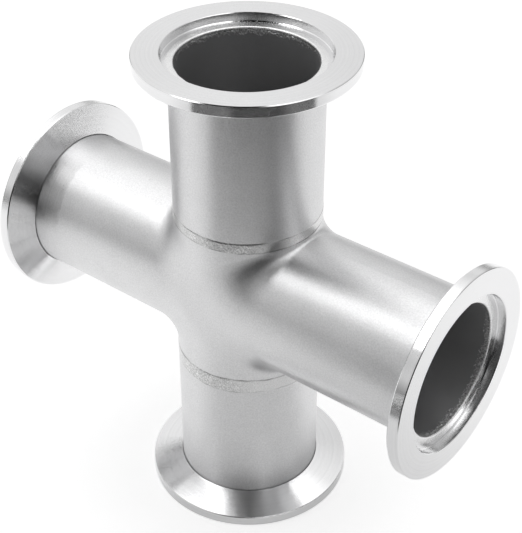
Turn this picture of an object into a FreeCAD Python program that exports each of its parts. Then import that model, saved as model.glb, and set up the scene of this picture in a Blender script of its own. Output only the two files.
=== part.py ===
import FreeCAD, Part
import math
import os
from FreeCAD import Vector

# Four-way cross of stainless tube with a small clamp flange on each end.
# Frame: the run tube lies along X, the branches stand along Z, and their axes cross at the origin.
# Lengths are in millimetres and angles in degrees.

# Tube, the same stock for the run and both branches
tube_od = 38.1
tube_wall = 1.65

# Reach of the four arms, centre to sealing face
run_reach = 65.0
branch_reach = 65.0

# Drawn collars: the blend between run and collar is tight in the crotch and wide at the flanks
crotch_radius = 0.8
flank_radius = 10.5

# Straight collar wall between the blend and the butt joint with the branch tube
top_collar_land = 1.2
bottom_collar_land = 2.0

# Girth welds between collar and branch tube
root_gap = 0.8
top_bead_width = 3.0
top_bead_height = 0.2
bottom_bead_width = 4.4
bottom_bead_height = 0.14

# Clamp flange: steps outwards from the tube, and depths below the sealing face
recess_step = 1.55
rim_width = 6.9
recess_depth = 2.4
recess_edge_break = 0.15
recess_corner_break = 0.25
rim_thickness = 2.9
rim_edge_break = 0.2
back_taper = 15.0
socket_clearance = 0.1
socket_edge_break = 0.15

# Tube end inside the flange, below the sealing face, and the bead that closes the joint
tube_setback = 3.6
bead_land = 1.35
bead_fullness = 0.3

# Radii and places that follow from the sizes above
tube_r = tube_od / 2
bore_r = tube_r - tube_wall
socket_r = tube_r + socket_clearance
recess_r = tube_r + recess_step
rim_r = recess_r + rim_width
run_end = run_reach - tube_setback
branch_end = branch_reach - tube_setback

ORIGIN = Vector(0, 0, 0)
X_AXIS = Vector(1, 0, 0)
Y_AXIS = Vector(0, 1, 0)
Z_AXIS = Vector(0, 0, 1)

# Quarter turn as a rational quadratic: Bernstein coefficients of its cosine, sine and weight
HALF = math.sqrt(0.5)
COSINE = (1.0, HALF, 0.0)
SINE = (0.0, HALF, 1.0)
WEIGHT = (1.0, HALF, 1.0)


def blend_extent():
    """Furthest that the collar's blend reaches along either tube from the centre."""
    growth = flank_radius - crotch_radius
    if 2 * growth > tube_r:
        return flank_radius + tube_r * tube_r / (4 * growth)
    return tube_r + crotch_radius


# Butt joints between collars and branch tubes, as distances from the run's axis
top_joint = blend_extent() + top_collar_land + root_gap / 2
bottom_joint = blend_extent() + bottom_collar_land + root_gap / 2


def product(first, second):
    """Bernstein coefficients of the quartic that two quadratics make."""
    coefficients = [0.0] * 5
    for i, left in enumerate(first):
        for j, right in enumerate(second):
            share = math.comb(2, i) * math.comb(2, j) / math.comb(4, i + j)
            coefficients[i + j] += share * left * right
    return coefficients


def blend_surface(radius, crotch, flank):
    """One eighth of the blend between two equal tubes that cross.

    At angle a round the tubes their plus-shaped section has half-width radius * cos(a), and its inner
    corner is an arc of radius crotch + (flank - crotch) * sin(a) ** 2 that touches both tubes.
    """
    weight = product(WEIGHT, WEIGHT)
    half_width = product(COSINE, WEIGHT)
    across = product(SINE, WEIGHT)
    growth = product(SINE, SINE)
    poles = []
    weights = []
    for w, cosine, sine, square in zip(weight, half_width, across, growth):
        side = radius * cosine / w
        level = radius * sine / w
        foot = side + crotch + (flank - crotch) * square / w
        poles.append([Vector(foot, level, side), Vector(side, level, side), Vector(side, level, foot)])
        weights.append([w, w * HALF, w])
    surface = Part.BSplineSurface()
    surface.buildFromPolesMultsKnots(poles, [5, 5], [3, 3], [0, 1], [0, 1], False, False, 4, 2, weights)
    return surface


def flank_star(radius, flank):
    """Quarter of the flat star that the four blends leave at the flank, tangent to all of them."""
    run_tip = Vector(flank, radius, 0)
    branch_tip = Vector(0, radius, flank)
    inset = flank * (1 - HALF)
    middle = Vector(0, radius, 0)
    edges = [
        Part.LineSegment(middle, run_tip).toShape(),
        Part.Arc(run_tip, Vector(inset, radius, inset), branch_tip).toShape(),
        Part.LineSegment(branch_tip, middle).toShape(),
    ]
    return Part.Face(Part.Wire(edges))


def mirrored(shape, normals):
    """The shape and all its mirror images in planes through the centre."""
    copies = [shape]
    for normal in normals:
        copies += [copy.mirror(ORIGIN, normal) for copy in copies]
    return copies


def arm_skin(radius, foot, normals, axis, end):
    """Cylindrical skin of one arm, from the foot of the blend to the arm's end."""
    lateral = Part.makeCylinder(radius, end, ORIGIN, axis).Faces[0]
    pieces = lateral.generalFuse(mirrored(foot, normals))[0].Faces
    return max(pieces, key=lambda face: face.CenterOfMass.dot(axis))


def crossing(radius, crotch, flank, top_end, bottom_end):
    """Solid bounded by two equal crossing tubes, their blend, and flat ends."""
    surface = blend_surface(radius, crotch, flank)
    run_foot = surface.vIso(0).toShape()
    branch_foot = surface.vIso(1).toShape()
    faces = mirrored(surface.toShape(), (X_AXIS, Y_AXIS, Z_AXIS))
    faces += mirrored(flank_star(radius, flank), (X_AXIS, Y_AXIS, Z_AXIS))
    arms = [
        (run_foot, (Y_AXIS, Z_AXIS), X_AXIS, run_end),
        (run_foot.mirror(ORIGIN, X_AXIS), (Y_AXIS, Z_AXIS), -X_AXIS, run_end),
        (branch_foot, (X_AXIS, Y_AXIS), Z_AXIS, top_end),
        (branch_foot.mirror(ORIGIN, Z_AXIS), (X_AXIS, Y_AXIS), -Z_AXIS, bottom_end),
    ]
    for foot, normals, axis, end in arms:
        faces.append(arm_skin(radius, foot, normals, axis, end))
        faces.append(Part.Face(Part.Wire(Part.makeCircle(radius, axis * end, axis))))
    skin = Part.makeCompound(faces)
    skin.sewShape()
    return Part.makeSolid(Part.Shell(skin.Faces))


def run_tube():
    """The horizontal tube with both collars drawn out of its wall."""
    top_end = top_joint - root_gap / 2
    bottom_end = bottom_joint - root_gap / 2
    outside = crossing(tube_r, crotch_radius, flank_radius, top_end, bottom_end)
    inside = crossing(bore_r, crotch_radius + tube_wall, flank_radius + tube_wall, top_end, bottom_end)
    return outside.cut(inside).removeSplitter()


def branch_tube(joint, axis):
    """Tube from the butt joint to its end inside the flange."""
    start = joint + root_gap / 2
    outside = Part.makeCylinder(tube_r, branch_end - start, axis * start, axis)
    bore = Part.makeCylinder(bore_r, branch_end - start, axis * start, axis)
    return outside.cut(bore)


def outline(steps):
    """Closed run of edges through (radius, height) points, with an arc where a step has three."""
    points = [[Vector(radius, 0, height) for radius, height in step] for step in steps]
    edges = []
    for here, there in zip(points, points[1:] + points[:1]):
        edges.append(Part.LineSegment(here[-1], there[0]).toShape())
        if len(there) == 3:
            edges.append(Part.Arc(*there).toShape())
    return edges


def turned(steps):
    """Ring turned about Z from an outline in the XZ plane."""
    return Part.Face(Part.Wire(outline(steps))).revolve(ORIGIN, Z_AXIS, 360)


def branch_weld(joint_height, bead_width, bead_height):
    """Butt weld: metal through the wall with a crown outside."""
    half_gap = root_gap / 2
    half_bead = bead_width / 2
    weld = turned([
        [(bore_r, -half_gap)],
        [(bore_r, half_gap)],
        [(tube_r, half_gap)],
        [(tube_r, half_bead), (tube_r + bead_height, 0), (tube_r, -half_bead)],
        [(tube_r, -half_gap)],
    ])
    weld.translate(Vector(0, 0, joint_height))
    return weld


def flange():
    """Clamp flange with its sealing face at height zero, facing up."""
    slope = math.tan(math.radians(back_taper))
    cone_foot = -rim_thickness - (rim_r - socket_r - socket_edge_break) * slope
    return turned([
        [(socket_r, -recess_depth)],
        [(recess_r - recess_corner_break, -recess_depth)],
        [(recess_r, -recess_depth + recess_corner_break)],
        [(recess_r, -recess_edge_break)],
        [(recess_r + recess_edge_break, 0)],
        [(rim_r - rim_edge_break, 0)],
        [(rim_r, -rim_edge_break)],
        [(rim_r, -rim_thickness + rim_edge_break)],
        [(rim_r - rim_edge_break, -rim_thickness - rim_edge_break * slope)],
        [(socket_r + socket_edge_break, cone_foot)],
        [(socket_r, cone_foot + socket_edge_break)],
    ])


def flange_weld():
    """Bead from the tube's end up to the floor of the recess, sealing face at height zero."""
    lip_r = socket_r - bead_land
    rise = tube_setback - recess_depth
    shoulder_r = bore_r + (lip_r - bore_r) * bead_fullness
    return turned([
        [(bore_r, -tube_setback)],
        [(socket_r, -tube_setback)],
        [(socket_r, -recess_depth)],
        [(lip_r, -recess_depth)],
        [(shoulder_r, -recess_depth - rise * bead_fullness)],
    ])


def at_port(shape, side):
    """Copy of a ring made about Z, moved to the end of one arm."""
    placed = shape.copy()
    if side == "top":
        placed.translate(Z_AXIS * branch_reach)
    if side == "bottom":
        placed.rotate(ORIGIN, Y_AXIS, 180)
        placed.translate(-Z_AXIS * branch_reach)
    if side == "right":
        placed.rotate(ORIGIN, Y_AXIS, 90)
        placed.translate(X_AXIS * run_reach)
    if side == "left":
        placed.rotate(ORIGIN, Y_AXIS, -90)
        placed.translate(-X_AXIS * run_reach)
    return placed


def write(name, shape):
    """Export one sub-part under its node's name."""
    shape.exportStep(os.path.join("parts", name + ".step"))


os.makedirs("parts", exist_ok=True)
write("run_tube", run_tube())
write("top_branch_tube", branch_tube(top_joint, Z_AXIS))
write("bottom_branch_tube", branch_tube(bottom_joint, -Z_AXIS))
write("top_branch_weld", branch_weld(top_joint, top_bead_width, top_bead_height))
write("bottom_branch_weld", branch_weld(-bottom_joint, bottom_bead_width, bottom_bead_height))
for port in ("top", "bottom", "left", "right"):
    write(port + "_flange", at_port(flange(), port))
    write(port + "_flange_weld", at_port(flange_weld(), port))
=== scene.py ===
"""Finish, weld beads, studio and camera for a four-way vacuum cross with clamp flanges."""

import math

import bpy
import numpy as np
from bpy.props import FloatProperty, FloatVectorProperty, IntProperty, PointerProperty
from mathutils import Matrix, Vector


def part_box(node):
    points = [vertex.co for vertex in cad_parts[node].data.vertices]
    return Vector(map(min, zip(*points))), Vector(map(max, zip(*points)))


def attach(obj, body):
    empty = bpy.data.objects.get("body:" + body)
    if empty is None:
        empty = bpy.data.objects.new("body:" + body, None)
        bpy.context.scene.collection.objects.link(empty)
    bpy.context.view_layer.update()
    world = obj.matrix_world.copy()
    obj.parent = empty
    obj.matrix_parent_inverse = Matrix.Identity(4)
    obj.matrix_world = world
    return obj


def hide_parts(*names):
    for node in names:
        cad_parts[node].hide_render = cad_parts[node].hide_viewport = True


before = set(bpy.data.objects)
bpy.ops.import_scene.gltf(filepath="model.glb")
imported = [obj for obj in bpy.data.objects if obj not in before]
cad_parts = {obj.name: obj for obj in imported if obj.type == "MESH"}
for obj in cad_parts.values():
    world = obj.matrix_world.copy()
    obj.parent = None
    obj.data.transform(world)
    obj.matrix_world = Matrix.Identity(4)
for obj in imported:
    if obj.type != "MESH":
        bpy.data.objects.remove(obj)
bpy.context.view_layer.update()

bl_info = {
    "name": "Four-way cross dressing",
    "version": (1, 0, 0),
    "blender": (4, 5, 0),
    "location": "View3D > Sidebar > Cross",
    "description": "Steel finishes, rippled weld beads, floor, lamps and camera for a four-way cross",
    "category": "Object",
}

MM = 0.001
BODY = "root"

BRANCH_SIDES = ("top", "bottom")
PORTS = {
    "top": Vector((0, 0, 1)),
    "bottom": Vector((0, 0, -1)),
    "left": Vector((-1, 0, 0)),
    "right": Vector((1, 0, 0)),
}


def half_size(node, axis):
    """Half of a node's size along X, Y or Z, in metres."""
    low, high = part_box(node)
    return (high[axis] - low[axis]) / 2


tube_radius = half_size("top_branch_tube", 1)
floor_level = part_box("bottom_flange")[0].z


class TubeFinish(bpy.types.PropertyGroup):
    colour: FloatVectorProperty(
        name="Steel", description="Reflected colour of the pickled tube",
        subtype="COLOR", size=3, min=0, max=1, default=(0.69, 0.69, 0.695))
    roughness: FloatProperty(
        name="Satin", description="Roughness of the pickled outside",
        subtype="FACTOR", min=0, max=1, default=0.34)
    mottle: FloatProperty(
        name="Mottle", description="Size of the cloudy patches left by pickling",
        unit="LENGTH", min=0.001, max=0.05, default=9 * MM)
    grain: FloatProperty(
        name="Grain", description="Size of the fine etched grain",
        unit="LENGTH", min=0.0001, max=0.005, default=0.38 * MM)
    grain_depth: FloatProperty(
        name="Grain depth", description="Height of the etched grain",
        unit="LENGTH", min=0, max=0.001, default=0.02 * MM)
    scratch_slope: FloatProperty(
        name="Scratch slope", description="Slope of the fine scratches that run round the tubes",
        min=0, max=2, default=0.4)
    scratch_length: FloatProperty(
        name="Scratch length", description="Length of each fine scratch on the tubes",
        unit="LENGTH", min=0.00002, max=0.01, default=0.12 * MM)
    cleaned_band: FloatProperty(
        name="Cleaned band", description="Length of tube end that was brushed after welding",
        unit="LENGTH", min=0, max=0.05, default=10.2 * MM)
    # Colour of the bore, darker than the outside: painted shade inside the tubes
    bore_colour: FloatVectorProperty(
        name="Bore", description="Reflected colour inside the tubes",
        subtype="COLOR", size=3, min=0, max=1, default=(0.42, 0.42, 0.425))
    bore_roughness: FloatProperty(
        name="Bore roughness", description="Roughness of the unpolished inside",
        subtype="FACTOR", min=0, max=1, default=0.55)


class FlangeFinish(bpy.types.PropertyGroup):
    colour: FloatVectorProperty(
        name="Turned steel", description="Reflected colour of the turned flanges",
        subtype="COLOR", size=3, min=0, max=1, default=(0.80, 0.80, 0.805))
    roughness: FloatProperty(
        name="Polish", description="Roughness of the turned faces",
        subtype="FACTOR", min=0, max=1, default=0.06)
    groove_slope: FloatProperty(
        name="Groove slope", description="Slope of the fine grooves that the lathe tool leaves",
        min=0, max=2, default=0.22)
    groove_length: FloatProperty(
        name="Groove length", description="Length over which a fine groove keeps its shape",
        unit="LENGTH", min=0.00002, max=0.01, default=0.1 * MM)
    feed: FloatProperty(
        name="Tool feed", description="Spacing of the turning lines that can be seen",
        unit="LENGTH", min=0.00005, max=0.005, default=0.55 * MM)


class WeldFinish(bpy.types.PropertyGroup):
    colour: FloatVectorProperty(
        name="Weld metal", description="Reflected colour of the weld beads",
        subtype="COLOR", size=3, min=0, max=1, default=(0.67, 0.67, 0.67))
    roughness: FloatProperty(
        name="Weld roughness", description="Roughness of the frozen weld surface",
        subtype="FACTOR", min=0, max=1, default=0.27)
    scale_pitch: FloatProperty(
        name="Scale pitch", description="Step from one frozen scale of a bead to the next",
        unit="LENGTH", min=0.0002, max=0.01, default=1.9 * MM)
    ripple_pitch: FloatProperty(
        name="Ripple pitch", description="Spacing of the fine ripples on each scale",
        unit="LENGTH", min=0.0002, max=0.01, default=1.0 * MM)
    ripple_height: FloatProperty(
        name="Ripple height", description="Height of the ripples on the bead",
        unit="LENGTH", min=0, max=0.001, default=0.05 * MM)
    grain_depth: FloatProperty(
        name="Grain depth", description="Height of the fine grain on a bead's marks",
        unit="LENGTH", min=0, max=0.001, default=0.012 * MM)
    lip: FloatProperty(
        name="Lip", description="Radius of the rounded lip of a port's seam",
        unit="LENGTH", min=0.00005, max=0.001, default=0.42 * MM)
    wash: FloatProperty(
        name="Wash", description="How far a port's seam runs down into the bore",
        unit="LENGTH", min=0.00005, max=0.002, default=0.8 * MM)
    lean: FloatProperty(
        name="Lean", description="How far the ripples lean round the tube, for each step along it",
        min=-3, max=3, default=1.1)
    wall: FloatProperty(
        name="Tube wall", description="Wall that the bead goes through",
        unit="LENGTH", min=0.0005, max=0.01, default=1.65 * MM)
    root_gap: FloatProperty(
        name="Root gap", description="Gap between the two tubes that a bead fills",
        unit="LENGTH", min=0.0001, max=0.005, default=0.8 * MM)
    steps_round: IntProperty(
        name="Steps round", description="Mesh steps round one bead",
        min=100, max=3000, default=1440)


class Studio(bpy.types.PropertyGroup):
    azimuth: FloatProperty(
        name="Camera azimuth", description="Angle of the camera round the part",
        subtype="ANGLE", default=math.radians(39.02))
    elevation: FloatProperty(
        name="Camera elevation", description="Angle of the camera above the floor",
        subtype="ANGLE", default=math.radians(36.02))
    roll: FloatProperty(
        name="Camera roll", description="Turn of the camera about its own line of sight",
        subtype="ANGLE", default=math.radians(-0.36))
    distance: FloatProperty(
        name="Camera distance", description="Distance of the camera from the middle of the cross",
        unit="LENGTH", default=348.4 * MM)
    focal_pixels: FloatProperty(
        name="Focal length in pixels", description="Focal length in pixels of the picture",
        default=1327.5)
    centre_pixel: FloatVectorProperty(
        name="Centre pixel", description="Pixel that the camera points at, from the top left corner",
        size=2, default=(248.4, 274.9))
    floor_colour: FloatVectorProperty(
        name="Floor", description="Colour of the pale floor",
        subtype="COLOR", size=3, min=0, max=1, default=(0.85, 0.85, 0.85))
    tent: FloatProperty(
        name="Tent", description="Brightness of the white light tent in the steel",
        min=0, max=5, default=1.0)
    dim_right: FloatProperty(
        name="Dim right", description="How much darker the tent is on the camera's right",
        min=-1, max=1, default=0.25)
    dim_front: FloatProperty(
        name="Dim front", description="How much darker the tent is on the camera's side",
        min=-1, max=1, default=0.40)
    opening_turn: FloatProperty(
        name="Opening", description="Angle from the camera round to the tent's open side",
        subtype="ANGLE", default=math.radians(20))
    opening_width: FloatProperty(
        name="Opening width", description="Half of the angle that the open side takes up",
        subtype="ANGLE", default=math.radians(51))
    floor_turn: FloatProperty(
        name="Floor opening", description="Angle from the camera round to the middle of the unlit floor",
        subtype="ANGLE", default=math.radians(6.5))
    floor_width: FloatProperty(
        name="Floor opening width", description="Half of the angle that the unlit floor takes up",
        subtype="ANGLE", default=math.radians(59.5))
    floor_reach: FloatProperty(
        name="Floor reach", description="How far the lit floor reaches into the open side",
        unit="LENGTH", default=186 * MM)
    floor_glow: FloatProperty(
        name="Floor glow", description="Light that comes through the floor from below",
        min=0, max=5, default=0.60)
    ambient: FloatProperty(
        name="Ambient", description="Light from all round on the floor",
        min=0, max=5, default=0.48)
    lamp: FloatProperty(
        name="Lamp", description="Brightness of the lamps that give the floor its shadow",
        min=0, max=20, default=0.45)


# Size of the picture, in pixels
IMAGE_WIDTH = 522
IMAGE_HEIGHT = 533

# Spacing of scratches too fine to see, in millimetres
SCRATCH_PITCH = 0.013

# Half the brightness of the tent's wall, against the sine of the angle above the floor
TENT_STOPS = ((0.0, 0.14), (0.26, 0.36), (0.5, 0.32), (0.77, 0.48), (0.94, 0.91), (1.0, 0.66))

# Bright panels in the tent: angle from the camera, rise, half of the width, and added brightness
PANELS = (
    (math.radians(-77), math.radians(57), math.radians(13), 2.6),
    (math.radians(44), math.radians(47), math.radians(31), 0.56),
)

# Dark gap in the tent's roof over the camera: angle from the camera, rise, and half of the width
GAP = (math.radians(-20), math.radians(57), math.radians(25))

# Softness of the edges of the panels and of the gap, as a share of their width
PANEL_SOFTNESS = 0.4
GAP_SOFTNESS = 0.2

# Open side of the tent: softness of its edges as a cosine, and then the sines of the angles above the
# floor between which it ends, with how dark it is below and above
OPENING_SOFTNESS = 0.16
OPENING_TOP = (0.25, 0.52, 0.95, 0.0)

# Half the side of the floor, in metres
FLOOR_HALF = 4.0

# Floor as the steel shows it: its light against the cosine of the angle from the middle of the open side,
# and against the distance in millimetres, each from a first value to a last one
FLOOR_ROUND = (0.0, 0.7, 1.0, 0.73)
FLOOR_AWAY = (250, 1000, 1.0, 0.68)

# Three steps into the unlit floor: each one's start and end in shares of the lit floor's reach, and its
# darkness at the sides and in the middle of the unlit floor
FLOOR_STEPS = (
    (0.76, 1.00, 0.50, 0.86),
    (0.96, 1.04, 0.68, 0.92),
    (1.20, 1.80, 0.97, 0.97),
)

# Darkest part of the unlit floor: how much further round its middle lies, and the cosines of the angle
# from that middle between which it fades in
FLOOR_DEEP_TURN = math.radians(4)
FLOOR_DEEP = (0.84, 0.95)

# Softness of the edges of the unlit floor, as a cosine
FLOOR_SOFTNESS = 0.04

# Shade painted round the foot of the cross, as the steel shows it and as the camera sees it: the distances
# in millimetres between which it fades, and how dark it is at first and at last
FOOT_IN_STEEL = (26, 40, 0.20, 0.0)
FOOT_TO_CAMERA = (28, 62, 0.11, 0.01)

# Soft boxes: angle from the camera, width and height in metres, and share of the lamps' brightness
SOFT_BOXES = {
    "left_soft_box": (math.radians(-120), 1.1, 0.55, 1.0),
    "right_soft_box": (math.radians(115), 0.6, 0.50, 0.5),
}
LAMP_RISE = math.radians(56)
LAMP_DISTANCE = 1.0

# Width of the camera's sensor, in millimetres
SENSOR_WIDTH = 36.0

# Patch of the run that was brushed beside its left flange, in millimetres: the side that it is on, how
# far out on that side it fades in, the waviness and the softness of its edge along the tube, and the
# spacing of the brush's lines. Then how much darker it is, how much its lines vary, and how much smoother
PATCH_SIDE = Vector((0, -0.78, 0.63))
PATCH_EDGE = (15.2, 18.6)
PATCH_RAGGED = 3.0
PATCH_FADE = 1.0
BRUSH_PITCH = 0.5
PATCH_SHADE = 0.2
BRUSH_SHADE = 0.3
PATCH_POLISH = 0.05

# What clouds, grain and turning lines do to the steel's shade and to its roughness, from end to end
TUBE_CLOUDS = (0.16, 0.10)
TUBE_GRAIN = (0.45, 0.06)
FLANGE_LINES = (0.10, 0.04)
FLANGE_CLOUDS = (0.04, 0.03)
WELD_CLOUDS = (0.12, 0.10)

# Size of the clouds on flanges and beads, and of the grain on beads, in millimetres
FLANGE_CLOUD = 6.0
WELD_CLOUD = 2.2
WELD_GRAIN = 0.32

# What the grain does to a bead's shade and to its relief, and what its marks add to each
GRAIN_SHADE = (0.1, 2.2)
GRAIN_RELIEF = (0.3, 1.0)

# How much rougher the marks of a girth bead and of a port's seam are
GIRTH_ROUGHER = 0.08
PORT_ROUGHER = 0.25

# First seed for the random draws of each kind of bead, and the step to the next bead's
GIRTH_SEEDS = (3, 30)
PORT_SEEDS = (100, 40)

# Edges of a bead's mesh that are sharper than this are drawn sharp
SHARP_ANGLE = math.radians(60)

# Mesh columns of a girth bead across its outside and across its root
BEAD_COLUMNS = 52
ROOT_COLUMNS = 9

# Small step between a bead and a tube's skin, how far a girth bead's hidden parts lie under the skin, and
# the height of its root
SKIN_STEP = 0.02 * MM
BEAD_SINK = 0.04 * MM
ROOT_HEIGHT = 0.12 * MM

# Exponent of a girth bead's section: the higher it is, the flatter the back and the steeper the toes
COVER_POWER = 8

# Share of a girth bead's crown that the dressing left, where it is smooth and where its marks stand out
CROWN_LEFT = (0.217, 0.62)

# Wanders of a girth bead, each with its strength and its most waves round: where its ripples lie round
# the tube, how unevenly they follow each other, its toes' quick and slow swells, and its painted
# highlights
ARC_SWELL = (0.4 * MM, 9)
RIPPLE_SWELL = (0.30, 70)
TOE_QUICK_SWELL = (0.03, 50)
TOE_SLOW_SWELL = (0.05, 6)
STRIPE_SPOTS = (1.0, 30)

# Exponent that rounds the backs of scales and ripples, and the shares of the ripple height that they have
RIPPLE_ROUNDNESS = 0.7
SCALE_SHARE = 0.6
RIPPLE_SHARE = 0.5

# Place of a girth bead's toes as a share of its half width, how far its scales move them, and the height
# of a scale, from 0 to 1, that leaves a toe where it is
TOE_PLACE = 0.97
TOE_BITE = 0.05
TOE_REST = 0.6

# Height of a scale, from 0 to 1, above which a highlight is painted on it, and how fast that gets paler
STRIPE_START = 0.625
STRIPE_GAIN = 1.6

# Girth bead: darkness of the shade painted at its toes, light of the highlight painted on its crests, and
# darkness of its marks
TOE_DARK = 0.6
STRIPE_LIGHT = 0.45
MARKS_DARK = 0.18

# Most waves round in the darkness of the lines of shade painted along a girth bead's toes
TOE_WAVES = 24

# Line of shade painted along each toe of a girth bead, in its crease: its place across the bead from -1 to
# 1, its width, its usual darkness, how much that wanders, its least and its most, and what the bead's
# marks add
LOW_TOE = (-0.91, 0.20 * MM, 0.75, 0.45, 0.1, 1.2, 0.0)
HIGH_TOE = (0.93, 0.16 * MM, 0.30, 0.40, 0.0, 1.0, 0.3)

# Mesh columns of a port's seam: down in the bore, round its lip and over its flat
WALL_COLUMNS = 12
LIP_COLUMNS = 8
FLAT_COLUMNS = 4

# Wanders of a port's seam, each with its strength and its most waves round: its lip's radius, its ragged
# edge's slow and quick swells, its unevenness in the bore, its flat's height and its mottled shade
LIP_SWELL = (0.12, 30)
EDGE_SLOW_SWELL = (0.45, 26)
EDGE_QUICK_SWELL = (0.25, 120)
BORE_RAGGED = (1.0, 150)
FLAT_SWELL = (0.012 * MM, 40)
MOTTLE_QUICK = (0.5, 160)
MOTTLE_SLOW = (0.3, 9)

# Waves of a port's seam down the bore: how many half waves each one has, their shift as a share of the
# seam's length, and the seam's mean height as a share of its relief
WALL_WAVES = (3, 4, 5)
WALL_SHIFT = 0.3
WALL_MEAN = 0.6

# Mottled shade of a port's seam down the bore: how many waves it has there, and their phase
MOTTLE_WAVES = 1.1
MOTTLE_PHASE = 1.0

# Relief of a port's seam in the bore, and how far behind the bore's skin its hidden foot ends
SEAM_RELIEF = 0.05 * MM
SEAM_FOOT = 0.5 * MM

# Shade of a port's seam in the bore where it is darkest, how much its pale spots add, and the highlight
# painted on its lip and flat
SEAM_SHADE = 0.6
SPOT_SHADE = 0.6
FLAT_SHADE = 1.25

# Where a girth bead's marks stand out: angle round its axis, spread to each side, and how strongly
BEAD_MARKS = {
    "top": (math.radians(-75), math.radians(62), 1.0),
    "bottom": (math.radians(-94), math.radians(60), 0.7),
}


class Wire:
    """An output socket that takes part in sums, so that shader maths reads as plain Python."""

    def __init__(self, graph, socket):
        self.graph = graph
        self.socket = socket

    def math(self, operation, *values):
        """A Math node on the values given, or on this wire alone."""
        inputs = dict(enumerate(values or (self,)))
        return self.graph.node("ShaderNodeMath", {"operation": operation}, inputs)

    def __add__(self, other):
        return self.math("ADD", self, other)

    def __radd__(self, other):
        return self.math("ADD", other, self)

    def __sub__(self, other):
        return self.math("SUBTRACT", self, other)

    def __rsub__(self, other):
        return self.math("SUBTRACT", other, self)

    def __mul__(self, other):
        return self.math("MULTIPLY", self, other)

    def __rmul__(self, other):
        return self.math("MULTIPLY", other, self)

    def __truediv__(self, other):
        return self.math("DIVIDE", self, other)

    def __rtruediv__(self, other):
        return self.math("DIVIDE", other, self)

    def __pow__(self, other):
        return self.math("POWER", self, other)

    def __rpow__(self, other):
        return self.math("POWER", other, self)

    def __lt__(self, other):
        return self.math("LESS_THAN", self, other)

    def __gt__(self, other):
        return self.math("GREATER_THAN", self, other)

    def limit(self, low, high):
        """The value, held between low and high."""
        return self.math("MINIMUM", self.math("MAXIMUM", self, low), high)


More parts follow.
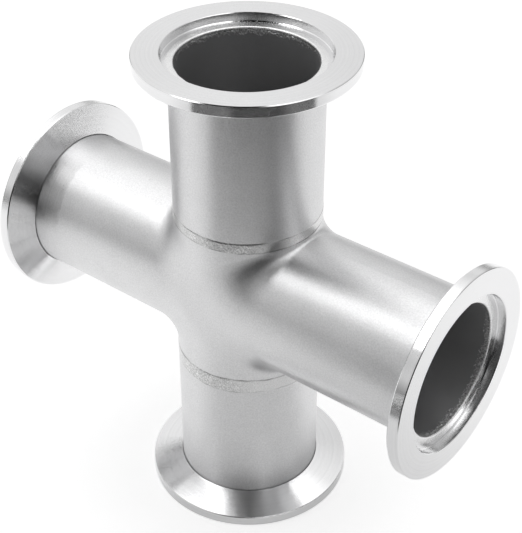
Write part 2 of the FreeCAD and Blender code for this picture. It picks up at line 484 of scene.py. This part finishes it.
class Graph:
    """The nodes of one material or world."""

    def __init__(self, owner):
        owner.use_nodes = True
        self.tree = owner.node_tree
        self.tree.nodes.clear()

    def node(self, kind, settings=None, inputs=None, output=0):
        """Adds one node: its settings first, then the values or links of its sockets.

        It gives back the wire of one output, or the node itself where output is None.
        """
        node = self.tree.nodes.new(kind)
        for name, value in (settings or {}).items():
            if name == "stops":
                self.set_stops(node.color_ramp, value)
            else:
                setattr(node, name, value)
        for name, value in (inputs or {}).items():
            if isinstance(value, Wire):
                self.tree.links.new(value.socket, node.inputs[name])
            else:
                node.inputs[name].default_value = value
        if output is None or not node.outputs:
            return node
        return Wire(self, node.outputs[output])

    def set_stops(self, ramp, stops):
        """Gives a ramp its grey stops, each a place and a value."""
        while len(ramp.elements) < len(stops):
            ramp.elements.new(1.0)
        for element, (place, value) in zip(ramp.elements, stops):
            element.position = place
            element.color = (value, value, value, 1.0)

    def place(self):
        """Position on the part in millimetres."""
        spot = self.node("ShaderNodeTexCoord", output="Object")
        return self.scaled(spot, 1 / MM)

    def attribute(self, name):
        """A value that a mesh holds at each of its points."""
        return self.node("ShaderNodeAttribute", {"attribute_name": name}, output="Fac")

    def vector(self, operation, first, second=None, output="Vector"):
        """A Vector Math node on one or two vectors."""
        inputs = {0: first}
        if second is not None:
            inputs[1] = second
        return self.node("ShaderNodeVectorMath", {"operation": operation}, inputs, output)

    def scaled(self, vector, factor):
        """A vector or a colour times a value."""
        inputs = {0: vector, "Scale": factor}
        return self.node("ShaderNodeVectorMath", {"operation": "SCALE"}, inputs, "Vector")

    def along(self, vector, way):
        """How far a vector goes along a direction, which is fixed or a wire."""
        if not isinstance(way, Wire):
            way = tuple(way)
        return self.vector("DOT_PRODUCT", vector, way, output="Value")

    def parts(self, vector):
        """The three values that a vector or a colour holds."""
        node = self.node("ShaderNodeSeparateXYZ", None, {"Vector": vector}, None)
        return [Wire(self, node.outputs[i]) for i in range(3)]

    def noise(self, vector, size, detail=2.0, roughness=0.5):
        """Cloudy noise from 0 to 1 whose patches are about size millimetres wide."""
        inputs = {"Vector": vector, "Scale": 1 / size, "Detail": detail, "Roughness": roughness}
        return self.node("ShaderNodeTexNoise", None, inputs, "Fac")

    def line_noise(self, along, size, detail=2.0):
        """Noise that varies with one value only, such as a distance in millimetres."""
        inputs = {"W": along, "Scale": 1 / size, "Detail": detail}
        return self.node("ShaderNodeTexNoise", {"noise_dimensions": "1D"}, inputs, "Fac")

    def ramp(self, value, stops):
        """Grey that follows a few stops, for a value from 0 to 1."""
        return self.node("ShaderNodeValToRGB", {"stops": stops}, {"Fac": value})

    def smooth(self, value, low, high):
        """0 under low, 1 over high and a soft step between."""
        inputs = {"Value": value, "From Min": low, "From Max": high}
        return self.node("ShaderNodeMapRange", {"interpolation_type": "SMOOTHSTEP"}, inputs)

    def fade(self, value, low, high, first, last):
        """first under low, last over high and a soft step between."""
        return first + self.smooth(value, low, high) * (last - first)

    def cone(self, way, axis, width, softness):
        """1 in directions within an angle of width round an axis and 0 beyond, with a soft edge."""
        near = self.along(way, axis)
        return self.smooth(near, math.cos((1 + softness) * width), math.cos((1 - softness) * width))

    def mix(self, factor, first, second):
        """A blend from the first colour at 0 to the second at 1."""
        inputs = {"Factor": factor, 6: colour_of(first), 7: colour_of(second)}
        return self.node("ShaderNodeMix", {"data_type": "RGBA"}, inputs, 2)

    def tint(self, colour, value):
        """A colour made lighter or darker by a value round 1."""
        if not isinstance(colour, Wire):
            colour = tuple(colour)
        return self.scaled(colour, value)

    def scratched(self, normal, across, place, offset, length, slope):
        """The normal, tilted at random across short, fine, parallel scratches.

        across is the direction over the scratches, offset the distance along it and length how long each
        scratch is, in millimetres. Three random numbers from 0 to 1 make one tilt, so that most are small.
        """
        cell = self.vector("FLOOR", self.scaled(place, 1 / length))
        number = (offset / SCRATCH_PITCH).math("FLOOR")
        inputs = {"Vector": cell, "W": number}
        random = self.node("ShaderNodeTexWhiteNoise", {"noise_dimensions": "4D"}, inputs, "Color")
        first, second, third = self.parts(random)
        tilt = ((first + second + third) / 1.5 - 1) * slope
        tilted = self.vector("ADD", normal, self.scaled(across, tilt))
        return self.vector("NORMALIZE", tilted)

    def bump(self, height, distance):
        """The normal of a surface whose relief is distance metres high where height is 1."""
        return self.node("ShaderNodeBump", None, {"Height": height, "Distance": distance, "Strength": 1.0})

    def light_path(self, *kinds):
        """1 for rays of each kind and 0 for others, such as those that the camera sends out."""
        node = self.node("ShaderNodeLightPath", output=None)
        return [Wire(self, node.outputs[f"Is {kind} Ray"]) for kind in kinds]

    def worn(self, colour, roughness, *layers):
        """A colour and a roughness after layers, each a noise and what it does to shade and roughness."""
        shade = 1
        for noise, shade_change, roughness_change in layers:
            shade = shade + sway(noise, shade_change)
            roughness = roughness + sway(noise, roughness_change)
        return self.tint(colour, shade), roughness

    def steel(self, colour, roughness, normal):
        """Finishes a material as bare metal."""
        inputs = {"Base Color": colour, "Roughness": roughness, "Metallic": 1.0, "Normal": normal}
        surface = self.node("ShaderNodeBsdfPrincipled", None, inputs)
        self.node("ShaderNodeOutputMaterial", None, {"Surface": surface})


def colour_of(value):
    """A colour with its fourth channel, or a wire as it is."""
    if isinstance(value, Wire):
        return value
    return (*value, 1.0)


def sway(noise, amount):
    """Noise from 0 to 1 as a change to either side of nothing, amount from end to end."""
    return (noise - 0.5) * amount


def new_material(name):
    """An empty material and the graph that fills it."""
    material = bpy.data.materials.new(name)
    return material, Graph(material)


def dress(node, material):
    """Gives a carried-over node its finish."""
    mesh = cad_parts[node].data
    mesh.materials.clear()
    mesh.materials.append(material)


def satin_steel(name, axis, finish, cleaned=None):
    """Pickled tube: cloudy and finely etched, with scratches round its axis, and a rough bore whose colour
    is darkened to paint the shade inside it.

    cleaned is the end at which one side of the tube was brushed after welding.
    """
    material, graph = new_material(name)
    place = graph.place()
    clouds = graph.noise(place, finish.mottle / MM, 3.0)
    grain = graph.noise(place, finish.grain / MM, 2.0, 0.6)
    layers = (clouds, *TUBE_CLOUDS), (grain, *TUBE_GRAIN)
    outside, rough_outside = graph.worn(finish.colour, finish.roughness, *layers)
    if cleaned is not None:
        patch, patch_shade = brushed_patch(graph, place, cleaned, finish)
        outside = graph.tint(outside, patch_shade)
        rough_outside = rough_outside - patch * PATCH_POLISH
    bore = bore_mask(graph, place)
    # The bore takes a darker colour: painted shade inside the tubes
    colour = graph.mix(bore, outside, finish.bore_colour)
    roughness = rough_outside * (1 - bore) + bore * finish.bore_roughness
    etched = graph.bump(grain, finish.grain_depth)
    offset = graph.along(place, axis)
    length = finish.scratch_length / MM
    scratched = graph.scratched(etched, tuple(axis), place, offset, length, finish.scratch_slope)
    graph.steel(colour, roughness, scratched)
    return material


def bore_mask(graph, place):
    """1 on the inside of the tubes, where the surface faces their axis, and 0 on the outside.

    The way out from the run's axis and the way out from the branches' axis are added up.
    """
    x, y, z = graph.parts(place)
    outward = graph.node("ShaderNodeCombineXYZ", None, {"X": x, "Y": y * 2, "Z": z})
    facing = graph.node("ShaderNodeNewGeometry", output="Normal")
    return graph.along(facing, outward) < 0


def brushed_patch(graph, place, end, finish):
    """Extent and shade of the patch on one side of a tube's end that was brushed after welding."""
    from_end = graph.along(place, end)
    start = (half_size("run_tube", 0) - finish.cleaned_band) / MM
    reach = from_end + sway(graph.noise(place, PATCH_RAGGED, 2.0), PATCH_RAGGED)
    patch = graph.smooth(reach, start, start + PATCH_FADE)
    patch = patch * graph.smooth(graph.along(place, PATCH_SIDE), *PATCH_EDGE)
    lines = graph.line_noise(from_end, BRUSH_PITCH, 3.0)
    return patch, 1 - patch * (PATCH_SHADE + sway(lines, BRUSH_SHADE))


def turned_steel(name, axis, finish):
    """Flange turned on a lathe: bright, with fine grooves about the axis of its port."""
    material, graph = new_material(name)
    place = graph.place()
    along = graph.along(place, axis)
    on_axis = graph.scaled(tuple(axis), along)
    radius = graph.vector("DISTANCE", place, on_axis, output="Value")
    ring = radius - along
    lines = graph.line_noise(ring, finish.feed / MM, 3.0)
    clouds = graph.noise(place, FLANGE_CLOUD, 2.0)
    layers = (lines, *FLANGE_LINES), (clouds, *FLANGE_CLOUDS)
    colour, roughness = graph.worn(finish.colour, finish.roughness, *layers)
    facing = graph.node("ShaderNodeNewGeometry", output="Normal")
    round_way = graph.vector("NORMALIZE", graph.vector("CROSS_PRODUCT", tuple(axis), place))
    across = graph.vector("CROSS_PRODUCT", facing, round_way)
    length = finish.groove_length / MM
    grooved = graph.scratched(facing, across, place, ring, length, finish.groove_slope)
    graph.steel(colour, roughness, grooved)
    return material


def weld_steel(name, finish, rough):
    """Weld bead: grained where its marks stand out, and rougher there by rough."""
    material, graph = new_material(name)
    place = graph.place()
    marks = graph.attribute("marks")
    shade = graph.attribute("shade")
    clouds = graph.noise(place, WELD_CLOUD, 3.0)
    grain = graph.noise(place, WELD_GRAIN, 2.0, 0.6)
    cloud_shade, cloud_roughness = WELD_CLOUDS
    plain, added = GRAIN_SHADE
    shade = shade * (1 + sway(clouds, cloud_shade) + sway(grain, plain + marks * added))
    roughness = finish.roughness + sway(clouds, cloud_roughness) + marks * rough
    plain, added = GRAIN_RELIEF
    relief = graph.bump(grain * (plain + marks * added), finish.grain_depth)
    graph.steel(graph.tint(finish.colour, shade), roughness, relief)
    return material


def round_angles(finish):
    """Angles of a bead's mesh rows round its axis."""
    return np.linspace(0, 2 * math.pi, finish.steps_round, endpoint=False)


def wander(angles, seed, strength, turns, count=14):
    """A smooth closed wander round a ring, about strength to each side of 0, with up to turns waves."""
    rng = np.random.default_rng(seed)
    waves = rng.integers(1, turns + 1, count)
    phases = rng.uniform(0, 2 * math.pi, count)
    total = sum(np.sin(w * angles + p) for w, p in zip(waves, phases))
    return strength * total / math.sqrt(count)


def soft_patch(angles, centre, spread):
    """1 at one place round a ring, falling softly to 0 at spread on both sides of it."""
    off = np.abs((angles - centre + math.pi) % (2 * math.pi) - math.pi)
    return 0.5 + 0.5 * np.cos(math.pi * np.clip(off / spread, 0, 1))


def ring_mesh(name, axis, radii, heights, values):
    """A closed ring about a port's axis. Rows go round it, columns round its section, in metres."""
    rows, columns = radii.shape
    side = Vector((0, 1, 0)).cross(axis)
    angles = np.linspace(0, 2 * math.pi, rows, endpoint=False)
    round_way = np.outer(np.cos(angles), side) + np.outer(np.sin(angles), (0, 1, 0))
    points = radii[:, :, None] * round_way[:, None, :] + heights[:, :, None] * np.array(axis)
    index = np.arange(rows * columns).reshape(rows, columns)
    after = np.roll(index, -1, 0)
    quads = np.stack([index, after, np.roll(after, -1, 1), np.roll(index, -1, 1)], -1)
    mesh = bpy.data.meshes.new(name)
    mesh.from_pydata(points.reshape(-1, 3).tolist(), [], quads.reshape(-1, 4).tolist())
    mesh.shade_smooth()
    mesh.set_sharp_from_angle(angle=SHARP_ANGLE)
    for value_name, value in values.items():
        whole = np.ones((rows, columns), np.float32)
        whole[:, :value.shape[1]] = value
        layer = mesh.attributes.new(value_name, "FLOAT", "POINT")
        layer.data.foreach_set("value", whole.ravel())
    piece = bpy.data.objects.new(name, mesh)
    bpy.context.scene.collection.objects.link(piece)
    return piece


def place_weld(piece, node, material):
    """Puts a finished bead in the place of its plain ring."""
    piece.data.materials.append(material)
    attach(piece, BODY)
    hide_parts(node)


def ripple(slant, pitch, angles, seed):
    """Frozen ripples along a bead, a little unevenly spaced: soft backs and tight valleys, from 0 to 1."""
    length = 2 * math.pi * tube_radius
    count = round(length / pitch)
    turns = slant * count / length + wander(angles, seed, *RIPPLE_SWELL)[:, None]
    return np.abs(np.sin(math.pi * turns)) ** RIPPLE_ROUNDNESS


def bead_cover(across):
    """1 on a girth bead's back, falling to 0 at its toes."""
    return (1 - across ** COVER_POWER)[None, :]


def toe_edge(angles, seed, half_width, bite):
    """Distance of one toe of a girth bead from its middle, with slow and quick swells and its bites."""
    swell = wander(angles, seed, *TOE_QUICK_SWELL) + wander(angles, seed + 1, *TOE_SLOW_SWELL)
    return half_width * (TOE_PLACE + swell + TOE_BITE * bite)


def toe_line(angles, seed, across, half_width, marks, line):
    """Darkness of the thin line of shade painted along one toe of a girth bead."""
    place, width, usual, change, least, most, added = line
    profile = np.exp(-((across - place) * half_width / width) ** 2)
    dark = np.clip(usual + wander(angles, seed, change, TOE_WAVES), least, most) + added * marks
    return dark[:, None] * profile[None, :]


def girth_shade(angles, seed, across, half_width, marks, scales, depth):
    """Shade of a girth bead: shade painted along its toes, highlights painted on the crests of its scales,
    and darker where its marks are.
    """
    # Shade painted along both toes, in their creases
    lines = toe_line(angles, seed + 20, across, half_width, marks, LOW_TOE)
    lines = lines + toe_line(angles, seed + 21, across, half_width, marks, HIGH_TOE)
    # Highlight painted on the crests of the scales
    stripe = np.clip((scales - STRIPE_START) * STRIPE_GAIN, 0, 1) * bead_cover(across)
    stripe = stripe * np.clip(wander(angles, seed + 22, *STRIPE_SPOTS), 0, 1)[:, None]
    marked = marks[:, None] * depth * (STRIPE_LIGHT * stripe - MARKS_DARK)
    return (1 - TOE_DARK * depth * lines) * (1 + marked)


def girth_root(finish, half_width):
    """Rest of a girth bead's section: under one toe, through the gap, round the root and back."""
    toe_foot = tube_radius - BEAD_SINK
    root_foot = tube_radius - finish.wall + BEAD_SINK
    gap = finish.root_gap / 2
    turn = np.linspace(1, -1, ROOT_COLUMNS)
    root = root_foot - (ROOT_HEIGHT + BEAD_SINK) * (1 - turn ** 2)
    radii = [toe_foot, toe_foot, root_foot, *root, root_foot, toe_foot, toe_foot]
    heights = [half_width, gap, gap, *(turn * finish.root_gap), -gap, -gap, -half_width]
    return np.array(radii), np.array(heights)


def branch_bead(side, finish, material):
    """Girth bead that joins a branch tube to the collar drawn out of the run.

    It is dressed nearly flush. Its scales and grain still show round one part of it, and its toes stand
    up as two thin lines, with shade painted along them.
    """
    node = f"{side}_branch_weld"
    low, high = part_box(node)
    ends = sorted((abs(low.z), abs(high.z)))
    middle = sum(ends) / 2
    half_width = (ends[1] - ends[0]) / 2
    crown = half_size(node, 1) - tube_radius
    first_seed, seed_step = GIRTH_SEEDS
    seed = first_seed + seed_step * BRANCH_SIDES.index(side)
    angles = round_angles(finish)
    centre, spread, depth = BEAD_MARKS[side]
    marks = soft_patch(angles, centre, spread)

    across = np.sin(np.linspace(-0.5, 0.5, BEAD_COLUMNS) * math.pi)
    arc = angles * tube_radius + wander(angles, seed, *ARC_SWELL)
    slant = arc[:, None] + finish.lean * half_width * across[None, :]
    scales = ripple(slant, finish.scale_pitch, angles, seed + 11)
    fine = ripple(slant, finish.ripple_pitch, angles, seed + 13)

    low_toe = toe_edge(angles, seed + 5, half_width, marks * (scales[:, 0] - TOE_REST))
    high_toe = toe_edge(angles, seed + 7, half_width, marks * (scales[:, -1] - TOE_REST))
    width = np.where(across[None, :] < 0, low_toe[:, None], high_toe[:, None])
    cover = bead_cover(across)
    smooth_crown, marked_crown = CROWN_LEFT
    left = smooth_crown + (marked_crown - smooth_crown) * marks[:, None]
    ripples = SCALE_SHARE * scales + RIPPLE_SHARE * (fine - 1)
    relief = finish.ripple_height * depth * marks[:, None] * cover * ripples
    outer = tube_radius + SKIN_STEP + crown * left * cover ** 0.5 + relief
    outer[:, [0, -1]] = tube_radius - SKIN_STEP

    root_radii, root_heights = (np.tile(row, (len(angles), 1)) for row in girth_root(finish, half_width))
    radii = np.concatenate([outer, root_radii], 1)
    heights = np.concatenate([across[None, :] * width, root_heights], 1) + middle
    shade = girth_shade(angles, seed, across, half_width, marks, scales, depth)
    values = {"shade": shade, "marks": np.tile(marks[:, None], (1, BEAD_COLUMNS))}
    piece = ring_mesh(f"{side}_girth_bead", PORTS[side], radii, heights, values)
    place_weld(piece, node, material)


def seam_shade(angles, seed, wall, turn):
    """Shade of a port's seam: mottled in the bore, and a highlight painted on it from the lip outwards."""
    down = np.cos(2 * math.pi * MOTTLE_WAVES * wall + MOTTLE_PHASE)
    quick = wander(angles, seed + 12, *MOTTLE_QUICK)[:, None] * down
    slow = wander(angles, seed + 13, *MOTTLE_SLOW)[:, None]
    wall_shade = SEAM_SHADE + SPOT_SHADE * np.clip(0.5 + quick + slow, 0, 1)
    # The lip and the flat are painted paler: a painted highlight
    lip_shade = wall_shade[:, -1:] * (1 - np.sin(turn)) + FLAT_SHADE * np.sin(turn)
    flat_shade = np.full((len(angles), FLAT_COLUMNS), FLAT_SHADE)
    return np.concatenate([wall_shade, lip_shade, flat_shade], 1)


def flange_bead(port, finish, material):
    """Seam inside a port: flush with the recess, with a rounded lip and a ragged edge in the bore."""
    node = f"{port}_flange_weld"
    axis = PORTS[port]
    along_axis = 2 if axis.z else 0
    low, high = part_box(node)
    foot, face = sorted((abs(low[along_axis]), abs(high[along_axis])))
    outer_radius = half_size(node, 1)
    bore_radius = tube_radius - finish.wall
    first_seed, seed_step = PORT_SEEDS
    seed = first_seed + seed_step * list(PORTS).index(port)
    angles = round_angles(finish)

    lip = finish.lip * (1 + wander(angles, seed, *LIP_SWELL))[:, None]
    swell = wander(angles, seed + 1, *EDGE_SLOW_SWELL) + wander(angles, seed + 2, *EDGE_QUICK_SWELL)
    wall = np.linspace(0, 1, WALL_COLUMNS)[None, :]
    start = foot - finish.wash * (1 + swell)[:, None]
    wall_heights = start + (face - lip - start) * wall
    ragged = 0
    for count in WALL_WAVES:
        uneven = wander(angles, seed + count, *BORE_RAGGED)[:, None]
        ragged = ragged + uneven * np.sin(math.pi * count * (wall + WALL_SHIFT))
    relief = SEAM_RELIEF * (WALL_MEAN + ragged * np.sin(math.pi * wall))
    wall_radii = bore_radius + SKIN_STEP - relief
    wall_radii[:, 0] = bore_radius + 1.5 * SKIN_STEP

    turn = np.linspace(0, math.pi / 2, LIP_COLUMNS + 1)[None, 1:]
    lip_radii = wall_radii[:, -1:] + lip * (1 - np.cos(turn))
    lip_heights = face - lip + lip * np.sin(turn)

    flat = np.linspace(0, 1, FLAT_COLUMNS + 1)[None, 1:]
    flat_radii = lip_radii[:, -1:] + (outer_radius - lip_radii[:, -1:]) * flat
    flat_heights = face + wander(angles, seed + 9, *FLAT_SWELL)[:, None] * np.sin(math.pi * flat)

    back_radii = np.tile((outer_radius, bore_radius + SEAM_FOOT), (len(angles), 1))
    back_heights = np.full(back_radii.shape, foot)
    radii = np.concatenate([wall_radii, lip_radii, flat_radii, back_radii], 1)
    heights = np.concatenate([wall_heights, lip_heights, flat_heights, back_heights], 1)
    fade = np.concatenate([np.ones(WALL_COLUMNS), np.linspace(1, 0, LIP_COLUMNS), np.zeros(FLAT_COLUMNS)])
    values = {
        "shade": seam_shade(angles, seed, wall, turn),
        "marks": np.tile(fade, (len(angles), 1)),
    }
    piece = ring_mesh(f"{port}_port_bead", axis, radii, heights, values)
    place_weld(piece, node, material)


def level_way(angle):
    """Level direction at this azimuth, seen from the part."""
    return Vector((math.sin(angle), -math.cos(angle), 0))


def raised_way(angle, rise):
    """Direction at this azimuth and this angle above the floor, seen from the part."""
    return level_way(angle) * math.cos(rise) + Vector((0, 0, math.sin(rise)))


def tent_walls(graph, way, studio):
    """Brightness of the tent in each direction, as the steel shows it."""
    height = graph.along(way, (0, 0, 1))
    walls = graph.ramp(height, TENT_STOPS) * 2 * studio.tent
    walls = walls * (1 - graph.along(way, level_way(studio.azimuth)) * studio.dim_front)
    walls = walls * (1 - graph.along(way, level_way(studio.azimuth + math.pi / 2)) * studio.dim_right)
    for turn, rise, width, brightness in PANELS:
        axis = raised_way(studio.azimuth + turn, rise)
        walls = walls + graph.cone(way, axis, width, PANEL_SOFTNESS) * brightness

    opening = graph.along(way, level_way(studio.azimuth + studio.opening_turn))
    edge = math.cos(studio.opening_width)
    opened = graph.smooth(opening, edge - OPENING_SOFTNESS, edge + OPENING_SOFTNESS)
    walls = walls * (1 - opened * graph.fade(height, *OPENING_TOP))

    turn, rise, width = GAP
    axis = raised_way(studio.azimuth + turn, rise)
    return walls * (1 - graph.cone(way, axis, width, GAP_SOFTNESS))


def studio_room(studio):
    """White light tent that is open towards the camera. Only the steel shows it."""
    world = bpy.data.worlds.new("light_tent")
    bpy.context.scene.world = world
    graph = Graph(world)
    way = graph.node("ShaderNodeTexCoord", output="Generated")
    walls = tent_walls(graph, way, studio)
    direct, through, glossy = graph.light_path("Camera", "Transmission", "Glossy")
    seen = (direct + through).limit(0, 1)
    strength = seen + (1 - seen) * (glossy * walls + (1 - glossy) * studio.ambient)
    background = graph.node("ShaderNodeBackground", None, {"Color": (1, 1, 1, 1), "Strength": strength})
    graph.node("ShaderNodeOutputWorld", None, {"Surface": background})


def floor_in_steel(graph, place, radius, studio):
    """Light of the floor as the steel shows it: dark beyond the tent's open side, with shade painted round
    the foot.
    """
    middle = studio.azimuth + studio.floor_turn
    toward = graph.along(place, level_way(middle)) / radius
    deepest = graph.along(place, level_way(middle + FLOOR_DEEP_TURN)) / radius
    deep = graph.smooth(deepest, *FLOOR_DEEP)
    reach = studio.floor_reach / MM
    dark = 0
    darkness = 0
    for start, end, at_side, in_middle in FLOOR_STEPS:
        before = darkness
        darkness = at_side + deep * (in_middle - at_side)
        dark = dark + graph.smooth(radius, reach * start, reach * end) * (darkness - before)
    edge = math.cos(studio.floor_width)
    dark = dark * graph.smooth(toward, edge - FLOOR_SOFTNESS, edge + FLOOR_SOFTNESS)
    lit = graph.fade(toward, *FLOOR_ROUND) * graph.fade(radius, *FLOOR_AWAY)
    # Shade painted round the foot, where the steel shows the floor
    return lit * (1 - dark) * (1 - graph.fade(radius, *FOOT_IN_STEEL))


def floor(studio):
    """Pale floor that keeps the shadow, with more shade painted round the cross's foot."""
    mesh = bpy.data.meshes.new("floor")
    corners = [(-1, -1), (1, -1), (1, 1), (-1, 1)]
    mesh.from_pydata([(x * FLOOR_HALF, y * FLOOR_HALF, 0) for x, y in corners], [], [(0, 1, 2, 3)])
    piece = bpy.data.objects.new("floor", mesh)
    piece.location.z = floor_level
    bpy.context.scene.collection.objects.link(piece)

    material, graph = new_material("pale_floor")
    place = graph.place()
    radius = graph.vector("LENGTH", graph.vector("MULTIPLY", place, (1, 1, 0)), output="Value")
    glossy, diffuse, direct = graph.light_path("Glossy", "Diffuse", "Camera")
    shown = floor_in_steel(graph, place, radius, studio) * glossy + (1 - glossy)
    # Shade painted into the floor's glow round the foot, where the camera sees it
    light = shown * (1 - diffuse) * (1 - direct * graph.fade(radius, *FOOT_TO_CAMERA))
    inputs = {
        "Base Color": graph.tint(studio.floor_colour, shown),
        "Roughness": 1.0,
        "Specular IOR Level": 0.0,
        "Emission Color": graph.tint((1, 1, 1), light),
        "Emission Strength": studio.floor_glow,
    }
    surface = graph.node("ShaderNodeBsdfPrincipled", None, inputs)
    graph.node("ShaderNodeOutputMaterial", None, {"Surface": surface})
    mesh.materials.append(material)


def soft_lamp(name, place, width, height, brightness):
    """A soft box that points at the cross and lights the floor."""
    lamp = bpy.data.lights.new(name, "AREA")
    lamp.shape = "RECTANGLE"
    lamp.size = width
    lamp.size_y = height
    lamp.energy = brightness * math.pi * width * height
    holder = bpy.data.objects.new(name, lamp)
    bpy.context.scene.collection.objects.link(holder)
    holder.location = place
    holder.rotation_euler = place.to_track_quat("Z", "Y").to_euler()
    holder.visible_camera = False
    holder.visible_glossy = False


def lamps(studio):
    """Two soft boxes above and behind the cross, one on each side."""
    for name, (turn, width, height, share) in SOFT_BOXES.items():
        place = raised_way(studio.azimuth + turn, LAMP_RISE) * LAMP_DISTANCE
        soft_lamp(name, place, width, height, studio.lamp * share)


def camera(studio):
    """Camera at the photograph's angle and framing."""
    azimuth, roll = studio.azimuth, studio.roll
    back = raised_way(azimuth, studio.elevation)
    side = Vector((math.cos(azimuth), math.sin(azimuth), 0))
    over = back.cross(side)
    right = side * math.cos(roll) + over * math.sin(roll)
    up = over * math.cos(roll) - side * math.sin(roll)
    view = bpy.data.cameras.new("camera")
    view.sensor_width = SENSOR_WIDTH
    longest = max(IMAGE_WIDTH, IMAGE_HEIGHT)
    view.lens = studio.focal_pixels / longest * SENSOR_WIDTH
    view.shift_x = (IMAGE_WIDTH / 2 - studio.centre_pixel[0]) / longest
    view.shift_y = (studio.centre_pixel[1] - IMAGE_HEIGHT / 2) / longest
    view.clip_start = 10 * MM
    holder = bpy.data.objects.new("camera", view)
    bpy.context.scene.collection.objects.link(holder)
    turn = Matrix((right, up, back)).transposed().to_4x4()
    holder.matrix_world = Matrix.Translation(back * studio.distance) @ turn
    bpy.context.scene.camera = holder


class CROSS_OT_tubes(bpy.types.Operator):
    """Gives the run and the two branch tubes their pickled satin finish"""

    bl_idname = "cross.tubes"
    bl_label = "Finish tubes"

    def execute(self, context):
        finish = context.scene.cross_tube
        dress("run_tube", satin_steel("satin_run", PORTS["right"], finish, PORTS["left"]))
        branches = satin_steel("satin_branches", PORTS["top"], finish)
        for side in BRANCH_SIDES:
            dress(f"{side}_branch_tube", branches)
        return {"FINISHED"}


class CROSS_OT_flanges(bpy.types.Operator):
    """Gives the four clamp flanges their turned finish"""

    bl_idname = "cross.flanges"
    bl_label = "Finish flanges"

    def execute(self, context):
        for port, axis in PORTS.items():
            dress(f"{port}_flange", turned_steel(f"turned_{port}", axis, context.scene.cross_flange))
        return {"FINISHED"}


class CROSS_OT_branch_welds(bpy.types.Operator):
    """Lays the two rippled beads that join the branches to the run"""

    bl_idname = "cross.branch_welds"
    bl_label = "Lay branch welds"

    def execute(self, context):
        finish = context.scene.cross_weld
        material = weld_steel("girth_weld_steel", finish, GIRTH_ROUGHER)
        for side in BRANCH_SIDES:
            branch_bead(side, finish, material)
        return {"FINISHED"}


class CROSS_OT_flange_welds(bpy.types.Operator):
    """Lays the four seams inside the ports"""

    bl_idname = "cross.flange_welds"
    bl_label = "Lay flange welds"

    def execute(self, context):
        finish = context.scene.cross_weld
        material = weld_steel("port_weld_steel", finish, PORT_ROUGHER)
        for port in PORTS:
            flange_bead(port, finish, material)
        return {"FINISHED"}


class CROSS_OT_stage(bpy.types.Operator):
    """Sets up the floor, the room, the lamps and the camera"""

    bl_idname = "cross.stage"
    bl_label = "Set the stage"

    def execute(self, context):
        studio = context.scene.cross_studio
        context.scene.view_settings.view_transform = "Standard"
        floor(studio)
        studio_room(studio)
        lamps(studio)
        camera(studio)
        return {"FINISHED"}


class CROSS_PT_panel(bpy.types.Panel):
    """Lists the steps that dress the cross"""

    bl_label = "Four-way cross"
    bl_space_type = "VIEW_3D"
    bl_region_type = "UI"
    bl_category = "Cross"

    def draw(self, context):
        for operator in OPERATORS:
            self.layout.operator(operator.bl_idname)


OPERATORS = (
    CROSS_OT_tubes,
    CROSS_OT_flanges,
    CROSS_OT_branch_welds,
    CROSS_OT_flange_welds,
    CROSS_OT_stage,
)
SETTINGS = {
    "cross_tube": TubeFinish,
    "cross_flange": FlangeFinish,
    "cross_weld": WeldFinish,
    "cross_studio": Studio,
}


def register():
    for name, group in SETTINGS.items():
        bpy.utils.register_class(group)
        setattr(bpy.types.Scene, name, PointerProperty(type=group))
    for operator in OPERATORS:
        bpy.utils.register_class(operator)
    bpy.utils.register_class(CROSS_PT_panel)


def unregister():
    bpy.utils.unregister_class(CROSS_PT_panel)
    for operator in reversed(OPERATORS):
        bpy.utils.unregister_class(operator)
    for name, group in reversed(SETTINGS.items()):
        delattr(bpy.types.Scene, name)
        bpy.utils.unregister_class(group)


def main():
    register()
    bpy.ops.cross.tubes()
    bpy.ops.cross.flanges()
    bpy.ops.cross.branch_welds()
    bpy.ops.cross.flange_welds()
    bpy.ops.cross.stage()


if __name__ == "__main__":
    main()
